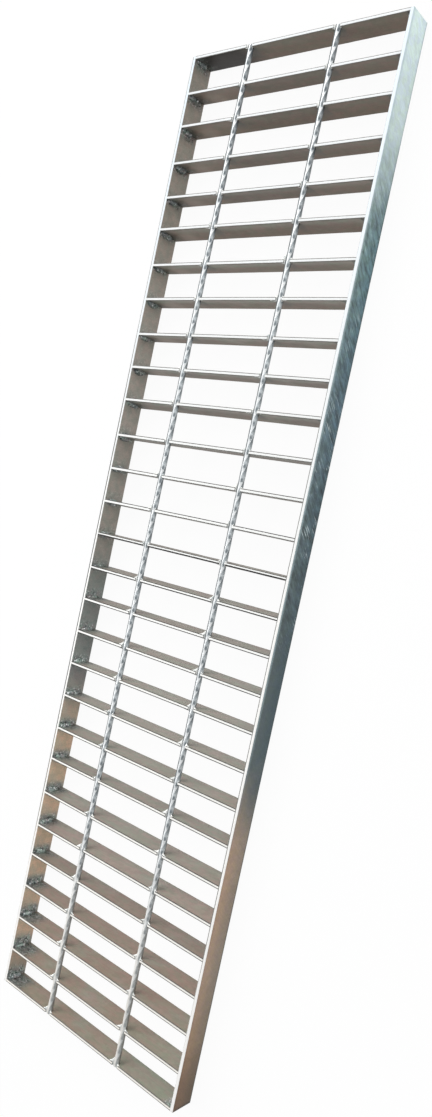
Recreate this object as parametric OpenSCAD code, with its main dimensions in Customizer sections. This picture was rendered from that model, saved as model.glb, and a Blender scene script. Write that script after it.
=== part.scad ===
// Welded bar grating for a drain channel, lying as it does in use.
// Width runs along X, length along Y, and the walking face is up.
// The origin is under the middle of the underside.

/* [Overall] */
// Width across both edge bands
grate_w = 250; // [180:1:400]
// Length of the edge bands
grate_l = 985; // [500:1:1500]
// Depth from the walking face to the underside
grate_h = 25; // [20:1:50]

/* [Flat bars] */
// Thickness of each edge band
band_t = 4; // [3:0.5:8]
// Thickness of each bearing bar
bar_t = 3.2; // [2:0.1:6]
// Number of bearing bars, both end bars included
bar_count = 29; // [10:1:45]
// Chamfer on the long edges of the bars and bands
edge_ease = 0.4; // [0.1:0.1:0.8]

/* [Twisted rods] */
// Side of the square rod before it is twisted
rod_side = 5; // [4:0.5:9]
// Distance between the axes of the rods
rod_spacing = 100; // [40:1:140]
// Offset of the pair of rods from the middle of the width
rod_shift = -2; // [-15:0.5:15]
// Length of rod that makes one full turn
twist_pitch = 52.8; // [30:0.1:100]
// Depth of the rod's highest corner below the walking face
rod_sink = 0.2; // [0:0.1:2]
// Number of twist steps in each gap between bars
twist_steps = 14; // [4:1:20]

/* [Corner welds] */
// Leg of each fillet weld between a bar and a band
weld_leg = 4; // [2:0.5:6]
// Length of each fillet weld
weld_len = 15; // [5:0.5:17]
// Depth of the top of each weld below the walking face
weld_drop = 2; // [0.5:0.5:2.5]

/* [Hidden] */
bar_l = grate_w - 2 * band_t;
bar_pitch = (grate_l - bar_t) / (bar_count - 1);
bar_gap = bar_pitch - bar_t;
last_bar = bar_count - 1;
rod_r = rod_side / sqrt(2);
rod_z = grate_h - rod_sink - rod_r;
weld_z = grate_h - weld_drop - weld_len;
notch_overrun = 0.5;
bar_colour = [0.63, 0.61, 0.59];
band_colour = [0.72, 0.75, 0.76];
rod_colour = [0.78, 0.81, 0.82];
weld_colour = [0.42, 0.44, 0.42];

// Names of the bars, counted from the near end
function bar_name(i) =
    i == 0 ? "near_end_bar" :
    i == last_bar ? "far_end_bar" :
    str("bearing_bar_", i < 10 ? "0" : "", i);

// Middle of a bar along the grate's length
function bar_y(i) = (i - last_bar / 2) * bar_pitch;

// Axis of a rod across the width, on the side given by -1 or 1
function rod_x(side) = rod_shift + side * rod_spacing / 2;

// Places along a rod where its square section is set: both faces of every bar, and even steps between bars
function rod_stations() = [
    for (i = [0 : last_bar])
        each concat(
            [bar_y(i) - bar_t / 2, bar_y(i) + bar_t / 2],
            i == last_bar ? [] :
                [for (s = [1 : twist_steps - 1]) bar_y(i) + bar_t / 2 + s * bar_gap / twist_steps]
        )
];

// The rod's places where it passes through one bar, with an overrun past both faces
function notch_stations(i) =
    let (half = bar_t / 2)
    [for (d = [-half - notch_overrun, -half, half, half + notch_overrun]) bar_y(i) + d];

// Four corners of the square section, turned to the right as it runs along the rod
function rod_section(x, y) = [
    for (k = [0 : 3])
        let (a = 360 * y / twist_pitch + 90 * k)
        [x - rod_r * cos(a), y, rod_z + rod_r * sin(a)]
];

// Square section carried through the stations and turned by the twist
module twisted_square(x, stations) {
    last = len(stations) - 1;
    corners = [for (y = stations) each rod_section(x, y)];
    sides = [
        for (s = [0 : last - 1], k = [0 : 3])
            let (a = 4 * s + k, b = 4 * s + (k + 1) % 4)
            each [[a, b + 4, b], [a, a + 4, b + 4]]
    ];
    near_cap = [0, 1, 2, 3];
    far_cap = [for (k = [3 : -1 : 0]) 4 * last + k];
    polyhedron(corners, concat([near_cap, far_cap], sides));
}

// Upright section of a rolled flat bar with eased edges, standing on the underside
module flat_bar_section(t) {
    e = edge_ease;
    w = t / 2;
    polygon([
        [-w + e, 0], [w - e, 0], [w, e], [w, grate_h - e],
        [w - e, grate_h], [-w + e, grate_h], [-w, grate_h - e], [-w, e]
    ]);
}

// Edge band along the length, on the side given by -1 or 1
module edge_band(side) {
    color(band_colour)
        translate([side * (grate_w - band_t) / 2, 0, 0])
            rotate([90, 0, 0])
                linear_extrude(grate_l, center = true)
                    flat_bar_section(band_t);
}

// Room that the hot rod presses into a bar's upper edge, open to the walking face
module rod_notch(i, side) {
    hull() {
        twisted_square(rod_x(side), notch_stations(i));
        translate([0, 0, 2 * rod_r])
            twisted_square(rod_x(side), notch_stations(i));
    }
}

// Bearing bar between the bands, notched for both rods
module bearing_bar(i) {
    color(bar_colour)
        difference() {
            translate([0, bar_y(i), 0])
                rotate([90, 0, 90])
                    linear_extrude(bar_l, center = true)
                        flat_bar_section(bar_t);
            for (side = [-1, 1])
                rod_notch(i, side);
        }
}

// Twisted square rod, flush with the outer faces of the end bars
module twisted_rod(side) {
    color(rod_colour)
        twisted_square(rod_x(side), rod_stations());
}

// Quarter-round bead in the corner at the origin, turned into one of the four quadrants
module fillet_bead(quadrant) {
    rotate(90 * quadrant)
        linear_extrude(weld_len)
            intersection() {
                circle(weld_leg);
                square(weld_leg);
            }
}

// Beads along one band: one on each face of every bar that looks into a gap
module corner_welds(side) {
    color(weld_colour)
        for (i = [0 : last_bar]) {
            x = side * bar_l / 2;
            if (i < last_bar)
                translate([x, bar_y(i) + bar_t / 2, weld_z])
                    fillet_bead(side < 0 ? 0 : 1);
            if (i > 0)
                translate([x, bar_y(i) - bar_t / 2, weld_z])
                    fillet_bead(side < 0 ? 3 : 2);
        }
}

edge_band(-1);  // left_band
edge_band(1);  // right_band
for (i = [0 : last_bar])
    bearing_bar(i);
twisted_rod(-1);  // left_rod
twisted_rod(1);  // right_rod
corner_welds(-1);  // left_welds
corner_welds(1);  // right_welds
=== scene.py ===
import math

import bpy
import numpy as np
from mathutils import Matrix, Vector


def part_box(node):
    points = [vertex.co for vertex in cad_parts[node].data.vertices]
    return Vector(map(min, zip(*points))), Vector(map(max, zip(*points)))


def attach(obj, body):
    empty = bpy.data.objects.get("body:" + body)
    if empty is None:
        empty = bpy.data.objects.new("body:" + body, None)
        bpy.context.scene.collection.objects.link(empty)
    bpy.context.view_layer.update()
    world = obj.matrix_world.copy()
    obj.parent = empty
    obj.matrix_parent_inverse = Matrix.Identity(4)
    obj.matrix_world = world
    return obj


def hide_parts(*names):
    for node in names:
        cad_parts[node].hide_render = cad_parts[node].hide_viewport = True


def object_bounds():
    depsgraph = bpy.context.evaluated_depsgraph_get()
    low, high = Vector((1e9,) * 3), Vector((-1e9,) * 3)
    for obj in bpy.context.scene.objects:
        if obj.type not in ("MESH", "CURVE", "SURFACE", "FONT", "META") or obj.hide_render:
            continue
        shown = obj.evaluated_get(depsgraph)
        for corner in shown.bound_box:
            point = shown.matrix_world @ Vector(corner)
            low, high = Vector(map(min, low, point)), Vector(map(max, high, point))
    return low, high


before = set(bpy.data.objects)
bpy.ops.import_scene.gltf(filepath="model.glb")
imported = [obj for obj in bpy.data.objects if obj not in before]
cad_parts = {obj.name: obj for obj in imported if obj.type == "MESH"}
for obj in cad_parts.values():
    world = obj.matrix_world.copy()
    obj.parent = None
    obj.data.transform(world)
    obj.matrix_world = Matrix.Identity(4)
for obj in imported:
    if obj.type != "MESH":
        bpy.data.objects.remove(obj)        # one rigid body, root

cadLow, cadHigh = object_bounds()
mm = 0.001
print("frame loaded,", len(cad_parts), "nodes")


# meshes

def signedVolume(points, quads):
    # sum over the quads' two triangles of a . (b x c) / 6, positive when the faces point outwards
    a, b, c, d = (points[quads[:, i]] for i in range(4))
    return (np.einsum("ij,ij->", a, np.cross(b, c)) + np.einsum("ij,ij->", a, np.cross(c, d))) / 6


def tubePiece(name, axes, finish, sharpAngle=38, marks=None):
    # closed tubes: the axes hold x, y and z, and rings[t, s, k] is point k of the profile at station s of tube t;
    # quads join neighbouring points, and a ladder of quads from side to side closes both ends;
    # marks are values at the points, kept as attributes for the material
    rings = np.stack(np.broadcast_arrays(*axes), axis=-1)
    rings = rings.reshape((-1,) + rings.shape[-3:])
    tubes, stations, count = rings.shape[:3]
    ids = np.arange(tubes * stations * count).reshape(tubes, stations, count)
    turned = np.roll(ids, -1, axis=2)
    walls = np.stack([ids[:, :-1], turned[:, :-1], turned[:, 1:], ids[:, 1:]], axis=-1)
    rung = np.arange(count // 2 - 1)
    ladder = np.stack([rung, rung + 1, count - 2 - rung, count - 1 - rung], axis=-1)
    near = ids[:, 0][:, ladder[:, ::-1]]
    far = ids[:, -1][:, ladder]
    quads = np.concatenate([walls.reshape(-1, 4), near.reshape(-1, 4), far.reshape(-1, 4)])
    points = rings.reshape(-1, 3)
    if signedVolume(points, quads) < 0:
        quads = quads[:, ::-1]
    mesh = bpy.data.meshes.new(name)
    mesh.vertices.add(len(points))
    mesh.vertices.foreach_set("co", points.astype(np.float32).ravel())
    mesh.loops.add(quads.size)
    mesh.loops.foreach_set("vertex_index", quads.astype(np.int32).ravel())
    mesh.polygons.add(len(quads))
    mesh.polygons.foreach_set("loop_start", np.arange(0, quads.size, 4, dtype=np.int32))
    mesh.polygons.foreach_set("use_smooth", np.ones(len(quads), dtype=bool))
    mesh.update(calc_edges=True)
    mesh.set_sharp_from_angle(angle=math.radians(sharpAngle))
    mesh.validate()
    for key, values in (marks or {}).items():
        spread = np.broadcast_to(values, rings.shape[:3]).astype(np.float32).ravel()
        mesh.attributes.new(key, "FLOAT", "POINT").data.foreach_set("value", spread)
    mesh.materials.append(finish)
    piece = bpy.data.objects.new(name, mesh)
    bpy.context.scene.collection.objects.link(piece)
    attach(piece, "root")
    return piece


def flatBarProfile(halfThick, height, radius, arcSteps, sideSteps):
    # rounded rectangle: up the left side from the underside's middle, down the right side mirrored
    turn = np.linspace(0, np.pi / 2, arcSteps)
    lowAcross, lowUp = -halfThick + radius - radius * np.sin(turn), radius - radius * np.cos(turn)
    side = np.linspace(radius, height - radius, sideSteps + 2)[1:-1]
    topAcross = -halfThick + radius - radius * np.cos(turn)
    topUp = height - radius + radius * np.sin(turn)
    across = np.concatenate([lowAcross, np.full(sideSteps, -halfThick), topAcross])
    up = np.concatenate([lowUp, side, topUp])
    return np.concatenate([across, -across[::-1]]), np.concatenate([up, up[::-1]])


def zincRipple(u, v, seed, waveLength, count=6, lengths=(0.6, 1.8)):
    # mean of a few sine waves over the surface, with seeded directions, lengths and phases, from -1 to 1
    rng = np.random.default_rng(seed)
    heading = rng.uniform(0, 2 * np.pi, count)
    length = waveLength * rng.uniform(*lengths, count)
    phase = rng.uniform(0, 2 * np.pi, count)
    waves = [np.sin(2 * np.pi * (u * np.cos(h) + v * np.sin(h)) / w + p)
             for h, w, p in zip(heading, length, phase)]
    return sum(waves) / count


def smoothStep(value, low, high):
    # cubic 3t^2 - 2t^3 of the value's place between low and high
    t = np.clip((value - low) / (high - low), 0, 1)
    return t * t * (3 - 2 * t)


# shader trees

class Channel:
    # an output socket in a shader tree; sums and products of channels and numbers add Math nodes
    def __init__(self, tree, socket=None):
        self.tree = tree
        self.socket = socket

    def node(self, kind, settings=None, inputs=None, output=0):
        # any node: its settings, then the values or links of its sockets
        made = self.tree.nodes.new(kind)
        for key, value in (settings or {}).items():
            if key == "stops":
                ramp = made.color_ramp
                while len(ramp.elements) < len(value):
                    ramp.elements.new(1.0)
                for element, (place, colour) in zip(ramp.elements, value):
                    element.position = place
                    element.color = colour
            else:
                setattr(made, key, value)
        for key, value in (inputs or {}).items():
            if isinstance(value, Channel):
                self.tree.links.new(value.socket, made.inputs[key])
            else:
                made.inputs[key].default_value = value
        return Channel(self.tree, made.outputs[output])

    def math(self, operation, first, second=0.0):
        # one Math node of two values
        return self.node("ShaderNodeMath", {"operation": operation}, {0: first, 1: second})

    def __add__(self, other): return self.math("ADD", self, other)
    def __radd__(self, other): return self.math("ADD", other, self)
    def __sub__(self, other): return self.math("SUBTRACT", self, other)
    def __rsub__(self, other): return self.math("SUBTRACT", other, self)
    def __mul__(self, other): return self.math("MULTIPLY", self, other)
    def __rmul__(self, other): return self.math("MULTIPLY", other, self)
    def __truediv__(self, other): return self.math("DIVIDE", self, other)
    def __rtruediv__(self, other): return self.math("DIVIDE", other, self)
    def __abs__(self): return self.math("ABSOLUTE", self)


def paint(hexText):
    # the linear colour of a screen colour such as "9a8a7e"
    screen = [int(hexText[i:i + 2], 16) / 255 for i in (0, 2, 4)]
    return tuple(c / 12.92 if c <= 0.04045 else ((c + 0.055) / 1.055) ** 2.4 for c in screen) + (1.0,)


def fade(value, low, high):
    # smooth step of a channel, 0 at low and 1 at high
    return value.node("ShaderNodeMapRange", {"interpolation_type": "SMOOTHSTEP"},
                      {"Value": value, "From Min": low, "From Max": high})


def blend(factor, first, second):
    # colour mix, first where the factor is 0 and second where it is 1, each a channel, a colour or a screen colour
    first, second = (paint(value) if isinstance(value, str) else value for value in (first, second))
    return factor.node("ShaderNodeMix", {"data_type": "RGBA"}, {0: factor, 6: first, 7: second}, 2)


def lumps(place, size, detail=3.0, roughness=0.55, stretch=(1, 1, 1)):
    # noise with patches about size millimetres across, longer where stretch is above 1
    spread = place.node("ShaderNodeMapping", None,
                        {"Vector": place, "Scale": tuple(1 / (size * s) for s in stretch)})
    return place.node("ShaderNodeTexNoise", None,
                      {"Vector": spread, "Scale": 1.0, "Detail": detail, "Roughness": roughness})


def crystals(place, size):
    # cells about size millimetres across, each with its own grey, as in spangled zinc
    cells = place.node("ShaderNodeTexVoronoi", None, {"Vector": place, "Scale": 1 / size}, 1)
    return place.node("ShaderNodeSeparateColor", None, {0: cells})


def startFinish(name):
    # an empty material with its Principled shader, and the object coordinates in millimetres
    finish = bpy.data.materials.new(name)
    finish.use_nodes = True
    tree = finish.node_tree
    shader = tree.nodes["Principled BSDF"]
    start = Channel(tree)
    place = start.node("ShaderNodeTexCoord", output=3)
    place = start.node("ShaderNodeVectorMath", {"operation": "SCALE"}, {0: place, 3: 1 / mm})
    axes = [start.node("ShaderNodeSeparateXYZ", None, {0: place}, i) for i in range(3)]
    return finish, shader, place, axes


def endFinish(shader, colour, roughness, metallic, height, bumpDepth):
    # links what varies over the surface into the Principled shader
    bump = height.node("ShaderNodeBump", None,
                       {"Height": height, "Strength": 1.0, "Distance": bumpDepth * mm})
    for key, value in (("Base Color", colour), ("Roughness", roughness),
                       ("Metallic", metallic), ("Normal", bump)):
        if isinstance(value, Channel):
            value.tree.links.new(value.socket, shader.inputs[key])
        else:
            shader.inputs[key].default_value = value


def mark(place, key):
    # the attribute that a mesh keeps under this name
    return place.node("ShaderNodeAttribute", {"attribute_name": key}, output="Fac")


def swing(noise, amount):
    # the noise moved to lie about 0, times an amount
    return amount * (noise - 0.5)


# in these settings and those below, a pair is where a fade begins and where it ends:
# millimetres up Z in names that end in Height, along Y in Along and along X in Reach,
# shares of the pitch past a bar in Bay, and in Cut the value of a noise or a mark, or a share of the length;
# Wander and Ragged are how far noise moves a fade, and Share, Less and More are how strong a layer is
edgeLook = dict(
    flatHeight=(24.84, 24.92),
    roundHeight=(24.2, 24.5),
    rimCut=(0.1, 0.4),
    ragged=0.12,
    soft=0.09,
)


def wornHighlightAndRimShade(colour, z, side, grain, rimShade, bright, limit, look=edgeLook):
    # wear with a painted highlight on the flat upper edge up to the limit, with a narrow rim of painted shade past it
    lit = fade(side + swing(grain, look["ragged"]), limit + look["soft"], limit - look["soft"])
    wornAndHighlit = fade(z, *look["flatHeight"]) * lit
    colour = blend(fade(z, *look["roundHeight"]) * fade(side, *look["rimCut"]), colour, rimShade)
    return blend(wornAndHighlit, colour, bright), wornAndHighlit


def scaled(colour, factor):
    # the colour times one number
    return factor.node("ShaderNodeVectorMath", {"operation": "SCALE"}, {0: colour, 3: factor})


def tinted(colour, tint):
    # the colour times another colour
    return colour.node("ShaderNodeVectorMath", {"operation": "MULTIPLY"}, {0: colour, 1: tint})


def ramp(value, stops):
    # colours at places along a channel from 0 to 1
    return value.node("ShaderNodeValToRGB", {"stops": [(p, paint(c)) for p, c in stops]}, {"Fac": value})


burntLook = dict(
    dark="8f9899",
    teal="b0c5ba",
    plum="b3a6a5",
    pit="454c4f",
    speck="f6f9f9",
    tealSize=6, tealCut=(0.42, 0.58),  # sizes of the patches in millimetres
    plumSize=5, plumCut=(0.5, 0.64), plumShare=0.7,
    pitSize=3, pitCut=(0.53, 0.61), pitShare=0.9,
    speckSize=2.2, speckCut=(0.57, 0.63),
    shift=(40, 70, 20),  # moves the noise of the plum patches and of the spatter
)


def burntMetal(place, look):
    # scale round the welds: dark, teal and plum patches of noise, then pits and bright spatter over them
    teal = fade(lumps(place, look["tealSize"]), *look["tealCut"])
    colour = blend(teal, look["dark"], look["teal"])
    shifted = place.node("ShaderNodeVectorMath", {"operation": "ADD"}, {0: place, 1: look["shift"]})
    plum = fade(lumps(shifted, look["plumSize"]), *look["plumCut"]) * look["plumShare"]
    colour = blend(plum, colour, look["plum"])
    pits = fade(lumps(place, look["pitSize"]), *look["pitCut"]) * look["pitShare"]
    colour = blend(pits, colour, look["pit"])
    specks = fade(lumps(shifted, look["speckSize"], detail=2), *look["speckCut"])
    return blend(specks, colour, look["speck"])


# sizes that every piece shares, from the solids

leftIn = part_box("left_band")[1].x  # inner faces of the bands
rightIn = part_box("right_band")[0].x
top = cadHigh.z
innerBars = 27  # between the two end bars
barNodes = ["near_end_bar"] + ["bearing_bar_%02d" % (i + 1) for i in range(innerBars)] + ["far_end_bar"]
barBoxes = [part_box(node) for node in barNodes]
barMiddles = np.array([(low.y + high.y) / 2 for low, high in barBoxes])
barHalf = (barBoxes[1][1].y - barBoxes[1][0].y) / 2
barPitch = (barMiddles[-1] - barMiddles[0]) / (len(barMiddles) - 1)
sides = ("left", "right")
rodMiddles = {side: sum(corner.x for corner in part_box(side + "_rod")) / 2 for side in sides}
noTint = (1, 1, 1, 1)


# bearing bars

barLook = dict(
    edgeRadius=0.6 * mm,
    arcSteps=5,  # points round each edge, and up each side
    sideSteps=7,
    stations=71,  # along the bar, with more beside each rod
    rodStations=41,
    rodReach=7 * mm,
    lean=0.35 * mm,  # seeded shift of a bar's ends and of its middle
    leanSeed=300,
    # millimetres that the forging pushed each bar's upper edge along Y, from the near end, and its lower edge
    upperShift=[0, -0.2, 0.7, 1.0, 0.9, -1.6, -1.0, 1.6, 0, 0.4, 0.4, -0.4, -0.5, -1.4, -0.5,
                -0.5, -0.7, -0.8, 1.4, -0.3, -0.8, 0, -0.3, 1.2, -1.4, -1.6, 0.5, -1.1, 0],
    lowerShift=[0, -0.1, 0.5, -0.1, 0.2, 0.5, 0.6, 1.2, 1.4, 0.9, 0.7, 1.0, 0.9, 0.3, 0,
                -1.2, -0.3, -0.7, -1.5, -0.8, -0.8, -0.2, 0.3, -0.7, -0.1, -0.3, -0.2, 1.2, 0],
    ripple=0.06 * mm,
    rippleLength=16 * mm,
    rippleSeed=500,
    seatHalf=2.9 * mm,  # half width of the seat that the rod sinks into
    seatRamp=0.6 * mm,
    seatFloor=20.6 * mm,
    tuck=0.3 * mm,  # how far the ends run into the bands
    # colours of the faces along the length, darker towards the far end: partly their colour, partly painted shade of
    # the far-facing faces
    faceColourAndShadeStops=[(0.0, "a49788"), (0.1, "a29083"), (0.144, "998a7f"), (0.18, "aa9f96"), (0.215, "a39c93"),
               (0.25, "9d978e"), (0.286, "a39d94"), (0.37, "a39e96"), (0.47, "938b83"), (0.53, "827b76"),
               (0.6, "827973"), (0.72, "82776d"), (0.86, "7c6f64"), (1.0, "796d61")],
    rose=(1.07, 0.965, 0.95, 1.0),
    olive=(0.95, 1.015, 0.935, 1.0),
    lowNear=(1.03, 1.03, 1.05, 1.0),  # tint of the lower half of the faces at the near and far end: painted shade deep between the bars, darker at the far end
    lowFar=(0.88, 0.84, 0.79, 1.0),
    grey="adb0a9",
    sage="a3a79a",  # greener zinc at the right end of the nearest bars
    stain=(0.48, 0.48, 0.47),  # darkening of the burnt metal at the welds: weld stain, and painted shade in the corners
    heat="4d5452",  # darker beside the rods where they were forged in: heat stain, and painted shadow of the rods and flash
    soot="262321",  # darker towards the far left corner
    glow="c0aea1",  # paler beside the left band
    # rim of painted shade along the upper edge, then the worn edge with a painted highlight, each along the length
    rimShadeStops=[(0.0, "6a6763"), (0.2, "4a4846"), (0.42, "3c3a38"), (0.46, "262423"), (0.52, "262423"),
              (0.58, "605e5b"), (1.0, "7a7874")],
    wornHighlightStops=[(0.0, "f8f4ec"), (0.45, "f1f1ee"), (1.0, "dfe2e3")],
    patchSize=42, grainSize=1.2, cellSize=5,  # sizes of the noises in millimetres
    brushedSize=1.6, brushedStretch=(12, 1, 1),
    runsSize=6, runsStretch=(1, 1, 5),
    tintSize=6, tintStretch=(2, 1, 1), tintCut=(0.38, 0.62),
    farAlong=(-60, 60),
    greyShare=0.4, greyCut=(0.46, 0.72), greyLess=0.32, greyLessAlong=(200, 330),
    sageShare=0.7, sageCut=(0.13, 0.03), sageSlant=0.0009,
    lowHeight=(17, 5), lowWander=12, lowLess=0.5, lowLessAlong=(470, 486),
    # grey over the upper part of the faces, strongest at the far end: painted reflection
    highNear=0.03, highFar=0.5, highHeight=(13, 23), highWander=8,
    highLess=0.7, highLessAlong=(280, 430),
    tone=0.9, toneCell=0.1, toneGrain=0.24, toneBrushed=0.34, footShade=0.2, footHeight=(3, 0.5),
    toneMiddle=0.15, middleReach=(56, 40), middleAlong=(310, 350), middleEndAlong=(480, 465),
    farCornerShare=0.95, farCornerReach=(92, 56), farCornerSlant=2.2, farCornerWander=25,
    glowShare=0.28, glowReach=(10, 20), glowEndReach=(42, 26), glowWander=10,
    glowAlong=(100, 200), glowEndAlong=(478, 470), glowHeight=(22, 10),
    heatNear=0.22, heatFar=0.25, heatReach=(7.5, 3.5), heatHeight=(2, 16),
    heatWander=6, heatRagged=3,
    stainShare=0.9, stainReach=(20, 4), stainHeight=(0, 7), stainWander=20, stainRagged=8,
    stainMore=7, stainMoreAlong=(-370, -430), stainLess=4, stainLessAlong=(60, 200),
    farWeldShade=0.35, farWeldShadeAlong=(40, 200),
    rightReach=(6.5, 2), rightAlong=(-200, 60), rightWander=4,
    spatterShare=0.8, spatterReach=(12, 5), spatterRagged=14,
    spatterAlong=(-470, -485), spatterHeight=(9, 18),
    turnAlong=(14, 20),  # where the painted shade of the rim changes from the near face to the far one
    rimMore=0.42, rimMoreAlong=(-52, -18), rimMoreEndAlong=(30, 14), rimBack=0.22,
    wornHighlightLimit=0.42, wornHighlightLimitFar=0.08,
    rough=0.42, roughPatch=0.16, roughBrushed=0.12,
    metal=0.3, metalWorn=0.2, metalStain=0.15,
    bump=0.16, bumpGrain=0.6, bumpBrushed=0.5, bumpRuns=0.4, bumpCell=0.1,
)


def barFinish(look):
    # dull zinc: brown below and grey above, partly painted reflection and shade, mottled, stained at the welds, worn
    # bright along its upper edge with a painted highlight and a rim of painted shade
    finish, shader, place, (x, y, z) = startFinish("barZinc")
    patch = lumps(place, look["patchSize"], detail=4)
    brushed = lumps(place, look["brushedSize"], stretch=look["brushedStretch"])
    runs = lumps(place, look["runsSize"], stretch=look["runsStretch"])
    tint = lumps(place, look["tintSize"], stretch=look["tintStretch"])
    grain = lumps(place, look["grainSize"])
    cell = crystals(place, look["cellSize"])
    along = (y - cadLow.y / mm) / ((cadHigh.y - cadLow.y) / mm)
    toLeft = x - leftIn / mm
    toRight = rightIn / mm - x
    far = fade(y, *look["farAlong"])

    # partly painted shade: the faces darken towards the far end
    colour = ramp(along, look["faceColourAndShadeStops"])
    greyShare = look["greyShare"] - look["greyLess"] * fade(y, *look["greyLessAlong"])
    colour = blend(fade(patch, *look["greyCut"]) * greyShare, colour, look["grey"])
    sage = fade(along + look["sageSlant"] * toRight, *look["sageCut"]) * look["sageShare"]
    colour = blend(sage, colour, look["sage"])
    # painted shade: the lower half of the faces, deep between the bars, is darker and browner towards the far end
    lowShadeTint = blend(far * (1 - look["lowLess"] * fade(y, *look["lowLessAlong"])), look["lowNear"], look["lowFar"])
    low = fade(z + swing(runs, look["lowWander"]), *look["lowHeight"])
    colour = tinted(colour, blend(low, noTint, lowShadeTint))
    # painted reflection: the upper part of the faces turns grey, most at the far end
    high = fade(z + swing(patch, look["highWander"]), *look["highHeight"]) * (look["highNear"] + look["highFar"] * far)
    high = high * (1 - look["highLess"] * fade(y, *look["highLessAlong"]))
    colour = blend(high, colour, look["grey"])
    colour = tinted(colour, blend(fade(tint, *look["tintCut"]), look["olive"], look["rose"]))

    tone = look["tone"] + look["toneCell"] * cell + swing(grain, look["toneGrain"])
    # painted shade at the foot of the faces, down by the floor
    tone = tone + swing(brushed, look["toneBrushed"]) - look["footShade"] * fade(z, *look["footHeight"])
    farMiddle = fade(abs(x), *look["middleReach"]) * fade(y, *look["middleAlong"]) * fade(y, *look["middleEndAlong"])
    colour = scaled(colour, tone - look["toneMiddle"] * farMiddle)
    toCorner = toLeft + look["farCornerSlant"] * (cadHigh.y / mm - y) + swing(patch, look["farCornerWander"])
    colour = blend(fade(toCorner, *look["farCornerReach"]) * look["farCornerShare"], colour, look["soot"])
    glow = fade(toLeft + swing(tint, look["glowWander"]), *look["glowReach"]) * fade(toLeft, *look["glowEndReach"])
    glow = glow * fade(y, *look["glowAlong"]) * fade(y, *look["glowEndAlong"]) * fade(z, *look["glowHeight"])
    colour = blend(glow * look["glowShare"], colour, look["glow"])

    toRod = [abs(x - middle / mm) for middle in rodMiddles.values()]
    toRod = x.math("MINIMUM", *toRod) + swing(tint, look["heatWander"]) + swing(grain, look["heatRagged"])
    # heat stain and painted shadow beside each rod
    heat = fade(toRod, *look["heatReach"]) * (look["heatNear"] + look["heatFar"] * far) * fade(z, *look["heatHeight"])
    colour = blend(heat, colour, look["heat"])
    toWeld = toLeft + swing(patch, look["stainWander"]) + swing(grain, look["stainRagged"])
    toWeld = toWeld - look["stainMore"] * fade(y, *look["stainMoreAlong"])
    toWeld = toWeld + look["stainLess"] * fade(y, *look["stainLessAlong"])
    stain = fade(toWeld, *look["stainReach"]) * fade(z, *look["stainHeight"])
    # painted shade at the right ends of the bars, by the welds
    rightEndShade = fade(toRight + swing(tint, look["rightWander"]), *look["rightReach"]) * fade(y, *look["rightAlong"])
    stain = stain.math("MAXIMUM", stain, rightEndShade)
    # the burnt metal is darkened, more towards the far end: painted shade in the corners
    burnt = scaled(tinted(burntMetal(place, burntLook), look["stain"]),
                   1 - look["farWeldShade"] * fade(y, *look["farWeldShadeAlong"]))
    colour = blend(stain * look["stainShare"], colour, burnt)
    spatter = fade(toRight + swing(grain, look["spatterRagged"]), *look["spatterReach"])
    spatter = spatter * fade(y, *look["spatterAlong"]) * fade(z, *look["spatterHeight"])
    colour = blend(spatter * look["spatterShare"], colour, burntMetal(place, burntLook))

    # the rim of painted shade lies on the -Y side of the nearer bars and the +Y side of the farther ones, the painted
    # highlight towards the other side
    outward = mark(place, "across") * (2 * fade(y, *look["turnAlong"]) - 1)
    wider = look["rimMore"] * fade(y, *look["rimMoreAlong"]) * fade(y, *look["rimMoreEndAlong"])
    outward = outward.math("MAXIMUM", outward + wider, -look["rimBack"] - outward)
    colour, wornAndHighlit = wornHighlightAndRimShade(colour, z, outward, grain, ramp(along, look["rimShadeStops"]),
                            ramp(along, look["wornHighlightStops"]), look["wornHighlightLimit"] + look["wornHighlightLimitFar"] * far)
    roughness = look["rough"] + look["roughPatch"] * patch + look["roughBrushed"] * brushed
    metallic = look["metal"] - look["metalWorn"] * wornAndHighlit - look["metalStain"] * stain
    height = grain * look["bumpGrain"] + brushed * look["bumpBrushed"]
    height = height + runs * look["bumpRuns"] + cell * look["bumpCell"]
    endFinish(shader, colour, roughness, metallic, height, look["bump"])
    return finish


def barShift(index, z, look):
    # how far a bar stands off its middle along Y, on a straight line from its lower shift to its upper shift
    lower, upper = (np.array(look[key])[index] * mm for key in ("lowerShift", "upperShift"))
    return lower + (upper - lower) * z / top


def barPiece(node, index, finish, look):
    # rounded flat bar along X: its middle line is a seeded lean plus a cosine bow, its faces ripple,
    # and its height drops by a smooth step to a seat at each rod
    rng = np.random.default_rng(look["leanSeed"] + index)
    lean, bow = rng.uniform(-1, 1, 2) * look["lean"] * (0 < index < len(barNodes) - 1)
    around = np.linspace(-look["rodReach"], look["rodReach"], look["rodStations"])
    x = np.unique(np.concatenate([np.linspace(leftIn - look["tuck"], rightIn + look["tuck"], look["stations"])]
                                 + [middle + around for middle in rodMiddles.values()]))
    across, up = flatBarProfile(barHalf, top, look["edgeRadius"], look["arcSteps"], look["sideSteps"])
    x, across, up = x[:, None], across[None, :], up[None, :]
    seat = sum(1 - smoothStep(np.abs(x - middle), look["seatHalf"], look["seatHalf"] + look["seatRamp"])
               for middle in rodMiddles.values())
    height = top + (look["seatFloor"] - top) * seat
    z = up * height / top
    wave = zincRipple(x, z, look["rippleSeed"] + index, look["rippleLength"]) * look["ripple"]
    middleLine = lean * x / rightIn + bow * np.cos(np.pi / 2 * x / rightIn)
    y = barMiddles[index] + barShift(index, z, look) + middleLine + across * (1 + wave / barHalf)
    y = np.clip(y, cadLow.y, cadHigh.y)
    words = node.split("_")
    name = words[0] + "".join(w.capitalize() for w in words[1:])
    piece = tubePiece(name, (x, y, z), finish, marks={"across": across / barHalf})
    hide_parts(node)


barZinc = barFinish(barLook)
for index, node in enumerate(barNodes):
    barPiece(node, index, barZinc, barLook)
print("bars made:", len(barNodes))


# edge bands

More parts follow.
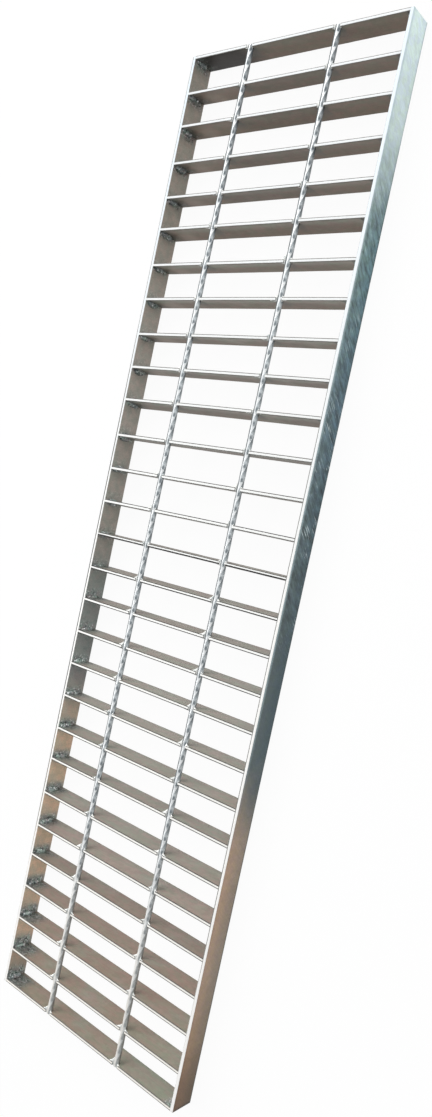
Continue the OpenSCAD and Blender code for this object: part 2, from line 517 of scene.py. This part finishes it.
bandLook = dict(
    edgeRadius=0.6 * mm,
    endRadius=0.8 * mm,
    arcSteps=5,  # points round each edge and end, and up each side
    sideSteps=8,
    stations=196,  # along the band between its end runs
    endRun=3 * mm,
    ripple=0.06 * mm,
    rippleLength=22 * mm,
    rippleSeed=700,
    # painted reflection along the outer faces: brown at the near end, teal in the middle and pale blue at the far end
    outerReflectionStops=[(0.0, "634c39"), (0.03, "846b54"), (0.06, "967e67"), (0.12, "a38d7a"), (0.24, "ab937f"),
                (0.28, "897f74"), (0.33, "536164"), (0.5, "4b5b5f"), (0.66, "597079"), (0.8, "688486"),
                (0.83, "748b8d"), (0.875, "b2c0c0"), (0.91, "d2dedc"), (1.0, "e3efee")],
    # painted shade at the near end
    endDark="2e241d",
    arris="39454a",
    faceHighlightTint=(1.13, 1.03, 0.97, 1.0),  # tints of the outer faces near the top and bottom edges: painted light above, painted shade below
    faceShadeTint=(0.84, 0.88, 0.91, 1.0),
    innerStops=[(0.0, "8b827b"), (0.035, "8e857e"), (0.06, "aba49a"), (0.3, "aba49a"), (0.335, "929292"),
                (0.38, "909593"), (0.44, "939894"), (0.5, "ada89f"), (0.7, "b3ada4"), (0.84, "a8a197"),
                (1.0, "a49d93")],
    innerBrown="eccfb1",
    haze="b4b9ae",  # greener zinc above the welds
    farStain=(0.71, 0.65, 0.63, 1.0),  # painted shade on the burnt metal at the far welds
    rose=(1.04, 0.98, 0.965, 1.0),
    olive=(0.97, 1.005, 0.98, 1.0),
    teal=(0.97, 1.03, 0.99, 1.0),
    blue=(0.96, 1.0, 1.07, 1.0),
    streak="d3e0e2",
    roundOverHighlight="b6cace",  # painted highlight, paler towards the upper edge
    # rim of painted shade along the upper edge, then the worn edge with a painted highlight
    rimShadeStops=[(0.0, "fcfbf9"), (0.13, "e6e5e2"), (0.2, "7a7874"), (0.28, "3a3835"),
              (0.5, "2c2a28"), (0.62, "4b4946"), (0.8, "858380"), (1.0, "858380")],
    rimShadeRight="75736f",
    wornHighlightStops=[(0.0, "fffdfa"), (0.45, "f5f4f1"), (1.0, "d8e2ea")],
    patchSize=50, grainSize=1.3, cellSize=6, streakSize=22,  # sizes of the noises in millimetres
    brushedSize=1.5, brushedStretch=(1, 1, 9),
    scratchSize=1.0, scratchStretch=(1, 16, 1), scratchTurn=-46,  # degrees about X
    mottleSize=4.5, mottleStretch=(1, 3, 1), mottleRoughness=0.6,
    hueSize=7, hueCut=(0.4, 0.6), tintSize=7, tintCut=(0.4, 0.6),
    outerWander=0.08, outerReach=(124.0, 124.5),
    endShare=0.85, endAlong=(3.5, 0.4), endRagged=3,  # from the near end
    faceHeight=(5, 22), faceAlong=(280, 380),
    arrisShare=0.6, arrisHeight=(2.6, 0.8), arrisRagged=1.2,
    arrisLess=0.35, arrisLessAlong=(300, 400),
    middleAlong=(-75, -15), middleEndAlong=(400, 300),
    scratchShade=0.4, scratchMiddle=0.9, mottleMiddle=3,
    streakShare=0.35, streakCut=(0.57, 0.66), streakPatchCut=(0.5, 0.58),
    streakMore=0.55, streakMoreAlong=(200, 80),
    roundShare=0.6, roundHeight=(21.3, 25), roundAlong=(-260, -60), roundRagged=2,
    warmShare=0.45, warmBay=(0.12, 0.36), warmWander=0.3, warmAlong=(-140, -240),
    warmMore=0.4, warmMoreAlong=(-462, -450),
    innerGrain=0.5, innerTint=0.3,
    hazeShare=0.35, hazeBay=(0.42, 0.1), hazeWander=0.25, hazeAlong=(-60, -170),
    hazeRise=0.34, hazeHeight=(4, 22),
    stainShare=0.85, stainHeight=(0, 6),
    weldShare=0.3, weldBay=(0.42, 0.1), weldWander=0.2, weldRagged=0.14,
    weldWider=0.1, weldWiderAlong=(-370, -430), weldMore=0.7, weldMoreAlong=(20, -120),
    backShare=0.4, backBay=(0.78, 0.95), backWander=0.1, backWider=0.13, backWiderAlong=(300, 400),
    backMore=0.35, backMoreAlong=(-150, 50), backFar=0.25, backFarAlong=(220, 330),
    farStainAlong=(230, 360),
    tone=0.92, toneCell=0.1, toneGrain=0.14, toneBrushed=0.16,
    rightReach=(-1, 1), rimShadeRightAlong=(-420, -300),
    wornHighlightLimit=0.16, wornHighlightLimitRight=0.3, wornHighlightLimitFar=0.36, wornHighlightFarAlong=(100, 250),
    rough=0.4, roughPatch=0.18, roughGrain=0.1, metal=0.3, metalWorn=0.2,
    bump=0.16, bumpGrain=0.6, bumpCell=0.2, bumpScratch=0.4,
)


def bandFinish(look):
    # zinc with a painted reflection that turns from pale blue to teal to brown along the outer faces,
    # brown between the bars on the inner faces and stained where the bars are welded on, with painted shadow under each
    # bar
    finish, shader, place, (x, y, z) = startFinish("bandZinc")
    patch = lumps(place, look["patchSize"], detail=4)
    grain = lumps(place, look["grainSize"])
    brushed = lumps(place, look["brushedSize"], stretch=look["brushedStretch"])
    cell = crystals(place, look["cellSize"])
    along = (y - cadLow.y / mm) / ((cadHigh.y - cadLow.y) / mm)

    outer = ramp(along + swing(patch, look["outerWander"]), look["outerReflectionStops"])
    # painted shade over the near end
    toEnd = y - cadLow.y / mm + swing(grain, look["endRagged"])
    outer = blend(fade(toEnd, *look["endAlong"]) * look["endShare"], outer, look["endDark"])
    # painted light and shade on the outer faces of the nearer part: paler up high, darker low down
    faceLightAndShade = blend(fade(z, *look["faceHeight"]), look["faceShadeTint"], look["faceHighlightTint"])
    outer = tinted(outer, blend(fade(y, *look["faceAlong"]), faceLightAndShade, noTint))
    arris = fade(z + swing(grain, look["arrisRagged"]), *look["arrisHeight"])
    arris = arris * (look["arrisShare"] - look["arrisLess"] * fade(y, *look["arrisLessAlong"]))
    outer = blend(arris, outer, look["arris"])
    slant = (math.radians(look["scratchTurn"]), 0, 0)
    slanted = place.node("ShaderNodeMapping", None, {"Vector": place, "Rotation": slant})
    scratch = lumps(slanted, look["scratchSize"], stretch=look["scratchStretch"])
    mottle = lumps(slanted, look["mottleSize"], 4, look["mottleRoughness"], look["mottleStretch"])
    hue = lumps(place, look["hueSize"], detail=2)
    middle = fade(y, *look["middleAlong"]) * fade(y, *look["middleEndAlong"])
    shade = 1 + swing(scratch, look["scratchShade"] + look["scratchMiddle"] * middle)
    outer = scaled(outer, shade + swing(mottle, look["mottleMiddle"] * middle))
    outer = tinted(outer, blend(fade(hue, *look["hueCut"]), look["teal"], look["blue"]))
    streaked = fade(lumps(place, look["streakSize"]), *look["streakPatchCut"])
    streaked = fade(scratch, *look["streakCut"]) * streaked * middle
    streaked = streaked * (look["streakShare"] + look["streakMore"] * fade(y, *look["streakMoreAlong"]))
    outer = blend(streaked, outer, look["streak"])
    # painted highlight towards the rounded upper edge
    roundOverHighlight = fade(z + swing(grain, look["roundRagged"]), *look["roundHeight"]) * fade(y, *look["roundAlong"])
    outer = blend(roundOverHighlight * look["roundShare"], outer, look["roundOverHighlight"])

    bay = (y - barMiddles[0] / mm) / (barPitch / mm)
    bay = bay.math("FRACT", bay)
    warm = fade(bay + swing(patch, look["warmWander"]), *look["warmBay"]) * fade(y, *look["warmAlong"])
    warm = warm * (look["warmShare"] + look["warmMore"] * fade(y, *look["warmMoreAlong"]))
    inner = blend(warm, ramp(along, look["innerStops"]), look["innerBrown"])
    tint = lumps(place, look["tintSize"])
    inner = tinted(inner, blend(fade(tint, *look["tintCut"]), look["olive"], look["rose"]))
    inner = scaled(inner, 1 + swing(grain, look["innerGrain"]) + swing(tint, look["innerTint"]))
    haze = bay + swing(patch, look["hazeWander"]) - look["hazeRise"] * fade(z, *look["hazeHeight"])
    haze = fade(haze, *look["hazeBay"]) * fade(y, *look["hazeAlong"])
    inner = blend(haze * look["hazeShare"], inner, look["haze"])
    toWeld = bay + swing(patch, look["weldWander"]) + swing(grain, look["weldRagged"])
    toWeld = toWeld - look["weldWider"] * fade(y, *look["weldWiderAlong"])
    stain = fade(toWeld, *look["weldBay"]) * fade(z, *look["stainHeight"])
    stain = stain * (look["weldShare"] + look["weldMore"] * fade(y, *look["weldMoreAlong"]))
    # weld stain and painted shadow at the top of each bay, under the next bar towards the far end
    toBack = bay + swing(patch, look["backWander"]) + look["backWider"] * fade(y, *look["backWiderAlong"])
    backStainAndShadow = fade(toBack, *look["backBay"]) * fade(z, *look["stainHeight"])
    backStainAndShadow = backStainAndShadow * (look["backShare"] + look["backMore"] * fade(y, *look["backMoreAlong"])
                             + look["backFar"] * fade(y, *look["backFarAlong"]))
    stain = stain.math("MAXIMUM", stain, backStainAndShadow)
    burnt = tinted(burntMetal(place, burntLook), blend(fade(y, *look["farStainAlong"]), noTint, look["farStain"]))
    inner = blend(stain * look["stainShare"], inner, burnt)

    colour = blend(fade(abs(x), *look["outerReach"]), inner, outer)
    tone = look["tone"] + look["toneCell"] * cell + swing(grain, look["toneGrain"])
    colour = scaled(colour, tone + swing(brushed, look["toneBrushed"]))
    right = fade(x, *look["rightReach"])
    # the rim of painted shade lies on the -X side of each band
    rimShade = blend(right * fade(y, *look["rimShadeRightAlong"]), ramp(along, look["rimShadeStops"]), look["rimShadeRight"])
    limit = look["wornHighlightLimit"] + look["wornHighlightLimitFar"] * fade(y, *look["wornHighlightFarAlong"]) + look["wornHighlightLimitRight"] * right
    colour, wornAndHighlit = wornHighlightAndRimShade(colour, z, 0 - mark(place, "across"), grain, rimShade, ramp(along, look["wornHighlightStops"]), limit)
    roughness = look["rough"] + look["roughPatch"] * patch + look["roughGrain"] * grain
    metallic = look["metal"] - look["metalWorn"] * wornAndHighlit
    height = grain * look["bumpGrain"] + cell * look["bumpCell"] + scratch * look["bumpScratch"]
    endFinish(shader, colour, roughness, metallic, height, look["bump"])
    return finish


def bandPiece(side, finish, look):
    # rounded flat bar along Y; the section shrinks by a quarter circle's rise at both ends
    low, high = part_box(side + "_band")
    middle, half = (low.x + high.x) / 2, (high.x - low.x) / 2
    ease = look["endRadius"] * (1 - np.cos(np.linspace(0, np.pi / 2, look["arcSteps"])))
    between = np.linspace(low.y + look["endRun"], high.y - look["endRun"], look["stations"])
    y = np.concatenate([low.y + ease, between, (high.y - ease)[::-1]])
    toEnd = np.minimum(y - low.y, high.y - y)
    fall = np.clip(look["endRadius"] - toEnd, 0, None)
    shrink = look["endRadius"] - np.sqrt(look["endRadius"] ** 2 - fall ** 2)
    across, up = flatBarProfile(half, top, look["edgeRadius"], look["arcSteps"], look["sideSteps"])
    y, shrink, across, up = y[:, None], shrink[:, None], across[None, :], up[None, :]
    wave = zincRipple(y, up, look["rippleSeed"] + ord(side[0]), look["rippleLength"]) * look["ripple"]
    x = middle + across * (1 - (shrink + look["ripple"] - wave) / half)
    z = top / 2 + (up - top / 2) * (1 - 2 * shrink / top)
    piece = tubePiece(side + "Band", (x, y, z), finish, marks={"across": across / half})
    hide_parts(side + "_band")


bandZinc = bandFinish(bandLook)
for side in sides:
    bandPiece(side, bandZinc, bandLook)
print("bands made")


# twisted rods

rodLook = dict(
    side=5.45 * mm,
    power=2.35,  # higher is a sharper square
    pitch=52.8 * mm,  # length of one whole turn
    axis=top - 3.1 * mm,  # height of the rod's middle
    station=1.1 * mm,
    around=40,  # points round the rod
    start=45,  # degrees that the square is turned by at the middle of the grate
    wander=3.0,  # degrees that the twist runs ahead or behind
    wanderLength=160 * mm,
    ripple=0.06 * mm,
    rippleLength=9 * mm,
    girth=4 * mm,  # length round the rod for each radian
    seed=900,
    topGap=0.1 * mm,
    sharpAngle=60,
    paintedLightAt=108.0,  # degrees round from +X to the side that the painted light comes from, which the brightest flats face
    flatShadeStops=[(0.0, "697176"), (0.2, "80888d"), (0.4, "b0b9bd"), (0.6, "dce3e6"), (0.8, "dce2e5"),
               (0.86, "ebf0f1"), (0.94, "f6f8f9")],  # painted shade of each flat, from facing away from the painted light to facing it
    drop="6f7a80",  # shade beside the white part of each flat
    crown="f6f9fa",  # painted highlight along the top, and its near end
    crownHighlightNear="efece6",
    dull="b3b2ab",  # the worn near end
    deep="343c43",  # deeper shade at the far end
    lee="3c4448",  # painted shade line down the side turned to the left
    under="4a5256",  # painted shade on the lower side, and its near end
    underShadeNear="665f58",
    patchSize=8, grainSize=0.9,  # sizes of the noises in millimetres
    facingWander=0.35, facingRagged=0.4, toneGrain=0.7,
    nearAlong=(-250, -430),
    dropShare=0.85, dropLess=0.3, dropCut=(0.2, 0.5), dropEndCut=(0.8, 0.66), dropHeight=(22.4, 23.8),
    dullShare=0.4, dullMore=0.3, dullCut=(0.6, 0),
    deepShare=0.4, deepCut=(0.75, 0.5), deepAlong=(230, 400),
    underShare=0.45, underMore=0.2, underHeight=(22.3, 20.7), underWander=1.4, underRagged=1.0,
    underRise=1.2,  # millimetres that the painted shade of the underside rises by at the near end
    leftWander=0.2, crownShare=0.8, crownCut=(-0.42, -0.2), crownRagged=0.2,
    leeShare=0.9, leeCut=(0.0, 0.2), leeAlong=(-390, -240),
    rough=0.34, roughPatch=0.2, metal=0.25, bump=0.1, bumpPatch=0.6,
)


def rodFinish(look):
    # painted light: each flat is white where it faces up to the left and darkens as the twist turns it away,
    # with a painted highlight along the top, a painted shade line down the left side and painted shade underneath
    finish, shader, place, (_, y, z) = startFinish("rodZinc")
    patch = lumps(place, look["patchSize"], detail=4)
    grain = lumps(place, look["grainSize"])
    facing = mark(place, "facing") + swing(patch, look["facingWander"]) + swing(grain, look["facingRagged"])
    near = fade(y, *look["nearAlong"])
    colour = ramp(0.5 + 0.5 * facing, look["flatShadeStops"])
    drop = fade(facing, *look["dropCut"]) * fade(facing, *look["dropEndCut"]) * fade(z, *look["dropHeight"])
    colour = blend(drop * (look["dropShare"] - look["dropLess"] * near), colour, look["drop"])
    dull = near * (look["dullShare"] + look["dullMore"] * fade(facing, *look["dullCut"]))
    colour = blend(dull, colour, look["dull"])
    deep = fade(y, *look["deepAlong"]) * fade(facing, *look["deepCut"]) * look["deepShare"]
    colour = blend(deep, colour, look["deep"])
    colour = scaled(colour, 1 + swing(grain, look["toneGrain"]))
    # painted shade on the underside of the rod
    under = z + swing(patch, look["underWander"]) + swing(grain, look["underRagged"]) - look["underRise"] * near
    under = fade(under, *look["underHeight"]) * (look["underShare"] + look["underMore"] * near)
    colour = blend(under, colour, blend(near, look["under"], look["underShadeNear"]))
    leftward = swing(patch, look["leftWander"]) - mark(place, "rightward")
    # painted highlight along the top of the rod
    crown = fade(leftward + swing(grain, look["crownRagged"]), *look["crownCut"]) * look["crownShare"]
    colour = blend(crown, colour, blend(near, look["crown"], look["crownHighlightNear"]))
    # painted shade line down the left side of the rod
    lee = fade(leftward, *look["leeCut"]) * fade(y, *look["leeAlong"])
    colour = blend(lee * look["leeShare"], colour, look["lee"])
    roughness = look["rough"] + look["roughPatch"] * patch
    endFinish(shader, colour, roughness, look["metal"], grain + patch * look["bumpPatch"], look["bump"])
    return finish


def rodPiece(side, finish, look):
    # rounded square r = s/2 / (|cos|^p + |sin|^p)^(1/p), turned right by 360 degrees in each pitch along Y
    low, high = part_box(side + "_rod")
    y = np.linspace(low.y, high.y, int((high.y - low.y) / look["station"]))[:, None]
    angle = np.linspace(0, 2 * np.pi, look["around"], endpoint=False)[None, :]
    seed = look["seed"] + ord(side[0])
    radius = look["side"] / 2 / (np.abs(np.cos(angle)) ** look["power"]
                                 + np.abs(np.sin(angle)) ** look["power"]) ** (1 / look["power"])
    radius = radius + look["ripple"] * zincRipple(y, angle * look["girth"], seed, look["rippleLength"])
    wander = math.radians(look["wander"]) * zincRipple(y, 0 * y, seed + 1, look["wanderLength"])
    turn = angle - 2 * np.pi * y / look["pitch"] + math.radians(look["start"]) + wander
    x = rodMiddles[side] + radius * np.cos(turn)
    z = np.minimum(look["axis"] + radius * np.sin(turn), top - look["topGap"])
    flat = turn - angle + np.round(angle / (np.pi / 2)) * np.pi / 2  # way that the nearest flat faces
    # painted light: how squarely the nearest flat faces the painted light direction, and how far each point lies to the
    # right
    marks = {"facing": np.cos(flat - math.radians(look["paintedLightAt"])), "rightward": np.cos(turn)}
    piece = tubePiece(side + "Rod", (x, y, z), finish, look["sharpAngle"], marks)
    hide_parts(side + "_rod")


rodZinc = rodFinish(rodLook)
for side in sides:
    rodPiece(side, rodZinc, rodLook)
print("rods made")


# flash squeezed out where the rods sink into the bars

flashLook = dict(
    stations=25,  # along each tube, and points round it
    around=12,
    sharpAngle=75,
    seed=40,
    halfLength=8.5 * mm,
    lengths=(0.75, 1.15),  # seeded shares of that length
    core=0.3,  # share of the length that the rod covers
    spreadFar=4.8 * mm,  # how far it stands out of the bar's far face beside the rod
    spreadNear=0.9 * mm,
    spreadsLeft=(0.5, 1.2),  # seeded shares of both on the rod's left and right
    spreadsRight=(0.15, 0.5),
    swell=1.8,  # power by which it widens towards the rod
    inset=0.1 * mm,  # how far its ends lie inside the bar's faces
    endDepth=0.25 * mm,
    depth=0.9 * mm,
    topGap=0.12 * mm,
    dip=0.6 * mm,  # fall of its crest towards the rod
    sink=2.6 * mm,  # further fall under the rod
    sinkFrom=0.1,  # where that starts to ease off, and how far past the core it ends
    sinkPast=0.05,
    lump=0.16 * mm,
    lumpLength=5 * mm,
    lumpSkew=1.3,
    lumpSeed=60,
    bright="f4f4f0",
    dull="b4bbbb",
    patchSize=3.5, patchCut=(0.45, 0.7), grainSize=0.7,
    lowShare=0.6, lowHeight=(22.6, 20.4),
    rough=0.42, roughPatch=0.2, metal=0.35, bump=0.2,
)


def flashFinish(look):
    # rough bright zinc, greyer in its hollows
    finish, shader, place, (_, _, z) = startFinish("flashZinc")
    patch = lumps(place, look["patchSize"], detail=4)
    grain = lumps(place, look["grainSize"])
    colour = blend(fade(patch, *look["patchCut"]), look["bright"], look["dull"])
    colour = blend(fade(z, *look["lowHeight"]) * look["lowShare"], colour, look["dull"])
    endFinish(shader, colour, look["rough"] + look["roughPatch"] * patch, look["metal"], grain + patch, look["bump"])
    return finish


def flashPiece(side, finish, look):
    # tubes along X over the bars' edges, with w rising from 0 at their ends to 1 at the rod's sides:
    # the half width grows as w^swell and the depth as w, and each tube has its own seeded length and spread
    rng = np.random.default_rng(look["seed"] + ord(side[0]))
    each = (len(barMiddles), 1, 1)
    u = np.linspace(-1, 1, look["stations"])[None, :, None]
    angle = np.linspace(0, 2 * np.pi, look["around"], endpoint=False)[None, None, :] - np.pi / 2
    reach = np.where(u < 0, rng.uniform(*look["lengths"], each), rng.uniform(*look["lengths"], each))
    spread = np.where(np.cos(angle) < 0, look["spreadNear"], look["spreadFar"])
    spread = spread * np.where(u < 0, rng.uniform(*look["spreadsLeft"], each),
                               rng.uniform(*look["spreadsRight"], each))
    w = np.clip((1 - np.abs(u)) / (1 - look["core"]), 0, 1)
    halfWidth = barHalf - look["inset"] + spread * w ** look["swell"]
    halfDepth = look["endDepth"] + look["depth"] * w
    crest = top - look["topGap"] - look["dip"] * w ** 2
    crest = crest - look["sink"] * (1 - smoothStep(np.abs(u), look["sinkFrom"], look["core"] + look["sinkPast"]))
    x = rodMiddles[side] + u * reach * look["halfLength"]
    edges = barMiddles + barShift(np.arange(len(barMiddles)), top, barLook)
    y = edges[:, None, None] + halfWidth * np.cos(angle)
    z = crest - halfDepth + halfDepth * np.sin(angle)
    ripple = zincRipple(x + y, y * look["lumpSkew"] + z, look["lumpSeed"] + ord(side[0]), look["lumpLength"])
    y = np.clip(y + look["lump"] * ripple, cadLow.y, cadHigh.y)
    tubePiece(side + "RodFlash", (x, y, z), finish, look["sharpAngle"])


flashZinc = flashFinish(flashLook)
for side in sides:
    flashPiece(side, flashZinc, flashLook)
print("flash made at", 2 * len(barMiddles), "crossings")


# fillet welds in the corners

weldLook = dict(
    stations=19,  # up each bead, and points round it
    arcSteps=8,
    sharpAngle=65,
    seed=80,
    leg=4.0 * mm,
    legs=(0.8, 1.15),  # seeded shares of the leg
    low=7.5 * mm,
    lowShifts=(-1.5, 2.5),  # seeded rise of the lower end and fall of the upper end, in millimetres
    high=23.2 * mm,
    highShifts=(0, 2.5),
    tuck=0.3 * mm,
    ripple=2.6 * mm,  # length of one weld ripple, and its share of the leg
    rippleShare=0.1,
    rough=0.35 * mm,
    hidden=0.45,  # size of the beads on the faces that look towards the nearer end
    seenAlong=(30 * mm, 120 * mm),  # from the middle of the length, where the others reach their full size
    patchSize=3.6, patchRoughness=0.65, grainSize=0.8,
    crestCut=(0.6, 1.0), crestWander=1.4, crestRagged=0.8,
    tone=0.75, crestHighlight=0.35, toneFar=0.3, farAlong=(150, 350),
    gloss=0.3, glossPatch=0.2, metal=0.3, bump=0.25,
)


def weldFinish(look):
    # burnt metal, rough, a little paler along the middle of the bead: a painted highlight
    finish, shader, place, (_, y, _) = startFinish("weldZinc")
    patch = lumps(place, look["patchSize"], 4, look["patchRoughness"])
    grain = lumps(place, look["grainSize"])
    crest = mark(place, "crest") + swing(patch, look["crestWander"]) + swing(grain, look["crestRagged"])
    # painted highlight along the crest of the bead
    tone = look["tone"] + look["crestHighlight"] * fade(crest, *look["crestCut"])
    tone = tone * (1 - look["toneFar"] * fade(y, *look["farAlong"]))
    roughness = look["gloss"] + look["glossPatch"] * patch
    endFinish(shader, scaled(burntMetal(place, burntLook), tone), roughness, look["metal"], grain + patch, look["bump"])
    return finish


def weldPiece(side, finish, look):
    # quarter-round beads up the corners: the leg follows an end taper (1 - up^4)^(1/2), sine ripples and seeded lumps
    rng = np.random.default_rng(look["seed"] + ord(side[0]))
    inner, inward = (leftIn, 1) if side == "left" else (rightIn, -1)
    faces = np.concatenate([barMiddles[:-1] + barHalf, barMiddles[1:] - barHalf])
    bars = np.concatenate([np.arange(len(barMiddles) - 1), np.arange(1, len(barMiddles))])
    out = np.concatenate([np.ones(len(barMiddles) - 1), -np.ones(len(barMiddles) - 1)])
    each = (len(faces), 1, 1)
    up = np.linspace(-1, 1, look["stations"])[None, :, None]
    arc = np.linspace(0, np.pi / 2, look["arcSteps"])
    # round each bead: its share along the bar and along the band, 0 in the corner, and 1 on its crest
    flare, rise, reach, crest = (np.concatenate([[0.0], values, [0.0]])[None, None, :]
                                 for values in (np.cos(arc), np.sin(arc), np.ones(len(arc)), np.sin(2 * arc)))
    low = look["low"] + rng.uniform(*look["lowShifts"], each) * mm
    high = look["high"] - rng.uniform(*look["highShifts"], each) * mm
    z = (low + high) / 2 + (high - low) / 2 * up + 0 * flare
    taper = (1 - up ** 4) ** 0.5
    phase = rng.uniform(0, 2 * np.pi, each)
    seen = smoothStep(-out * faces, *look["seenAlong"])[:, None, None]
    leg = look["leg"] * rng.uniform(*look["legs"], each) * taper
    leg = leg * (look["hidden"] + (1 - look["hidden"]) * seen)
    leg = leg * (1 + look["rippleShare"] * np.sin(2 * np.pi * z / look["ripple"] + phase))
    leg = leg + look["rough"] * rng.uniform(-1, 1, z.shape) * taper
    x = inner + inward * (np.where(reach > 0, leg * flare, 0) - look["tuck"])  # out along the bar
    y = np.where(reach > 0, leg * rise, 0) - look["tuck"]  # and along the band
    y = faces[:, None, None] + out[:, None, None] * y + barShift(bars[:, None, None], z, barLook)
    piece = tubePiece(side + "Welds", (x, y, z), finish, look["sharpAngle"], {"crest": crest})
    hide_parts(side + "_welds")


weldZinc = weldFinish(weldLook)
for side in sides:
    weldPiece(side, weldZinc, weldLook)
print("welds made")


# floor, light and camera

stageLook = dict(
    floorHalf=6.0,
    floorWhite=0.9,
    lift=0.95,  # share of the floor that shows plain white to the camera
    sky=0.46,
    skyTint=(0.97, 0.985, 1.0, 1.0),
    # place, size and power of each lamp
    lamps={"keyLamp": ((-0.9, 1.75, 1.7), 1.8, 40.0), "sideLamp": ((-1.5, -0.3, 1.0), 1.0, 15.0),
           "fillLamp": ((1.5, 0.8, 0.8), 1.2, 8.0)},
)


def floorPiece(look):
    # a flat square under the grate: paper to the light, plain white to the camera, reflections and glass
    half = look["floorHalf"]
    corners = np.array([(-half, -half, 0), (half, -half, 0), (half, half, 0), (-half, half, 0)])
    mesh = bpy.data.meshes.new("floor")
    mesh.from_pydata(corners.tolist(), [], [(0, 1, 2, 3)])
    finish = bpy.data.materials.new("floorPaper")
    finish.use_nodes = True
    tree = finish.node_tree
    start = Channel(tree)
    paper = start.node("ShaderNodeBsdfDiffuse", None, {"Color": (look["floorWhite"],) * 3 + (1.0,)})
    glow = start.node("ShaderNodeEmission", None, {"Color": (1, 1, 1, 1), "Strength": 1.0})
    seen = [start.node("ShaderNodeLightPath", output=i)
            for i in ("Is Camera Ray", "Is Glossy Ray", "Is Transmission Ray")]
    shown = seen[0].math("MAXIMUM", seen[0].math("MAXIMUM", seen[0], seen[1]), seen[2]) * look["lift"]
    surface = start.node("ShaderNodeMixShader", None, {0: shown, 1: paper, 2: glow})
    tree.links.new(surface.socket, tree.nodes["Material Output"].inputs["Surface"])
    mesh.materials.append(finish)
    floor = bpy.data.objects.new("floor", mesh)
    bpy.context.scene.collection.objects.link(floor)


def studioLight(look):
    # an even pale surround, a large soft lamp behind to the left, and weaker ones at the left and right
    world = bpy.data.worlds.new("studio")
    bpy.context.scene.world = world
    world.use_nodes = True
    surround = world.node_tree.nodes["Background"]
    surround.inputs["Color"].default_value = look["skyTint"]
    surround.inputs["Strength"].default_value = look["sky"]
    for name, (place, size, power) in look["lamps"].items():
        lamp = bpy.data.lights.new(name, "AREA")
        lamp.shape = "SQUARE"
        lamp.size = size
        lamp.energy = power
        holder = bpy.data.objects.new(name, lamp)
        holder.location = place
        holder.rotation_euler = (-Vector(place)).to_track_quat("-Z", "Y").to_euler()
        bpy.context.scene.collection.objects.link(holder)


cameraLook = dict(
    place=(0.55566, 0.03170, 0.66748),
    aim=(0.0369, -0.0157, 0.025),
    roll=-12.05,  # degrees about the line of sight, from +Y up
    lens=28.586,
    sensor=36,
    shift=(0.0061, 0.0169),
)


def photoCamera(look):
    # looks from place to aim; its right side is +Y turned a quarter and then rolled about the sight line
    sight = (Vector(look["aim"]) - Vector(look["place"])).normalized()
    level = sight.cross(Vector((0, 1, 0))).normalized()
    down = sight.cross(level)
    roll = math.radians(look["roll"])
    right = level * math.cos(roll) + down * math.sin(roll)
    up = right.cross(sight)
    camera = bpy.data.cameras.new("camera")
    camera.sensor_width = look["sensor"]
    camera.lens = look["lens"]
    camera.shift_x, camera.shift_y = look["shift"]
    eye = bpy.data.objects.new("camera", camera)
    turn = Matrix((right, up, -sight)).transposed().to_4x4()
    eye.matrix_world = Matrix.Translation(look["place"]) @ turn
    bpy.context.scene.collection.objects.link(eye)
    bpy.context.scene.camera = eye


floorPiece(stageLook)
studioLight(stageLook)
photoCamera(cameraLook)
bpy.context.scene.view_settings.view_transform = "Standard"
print("stage set")
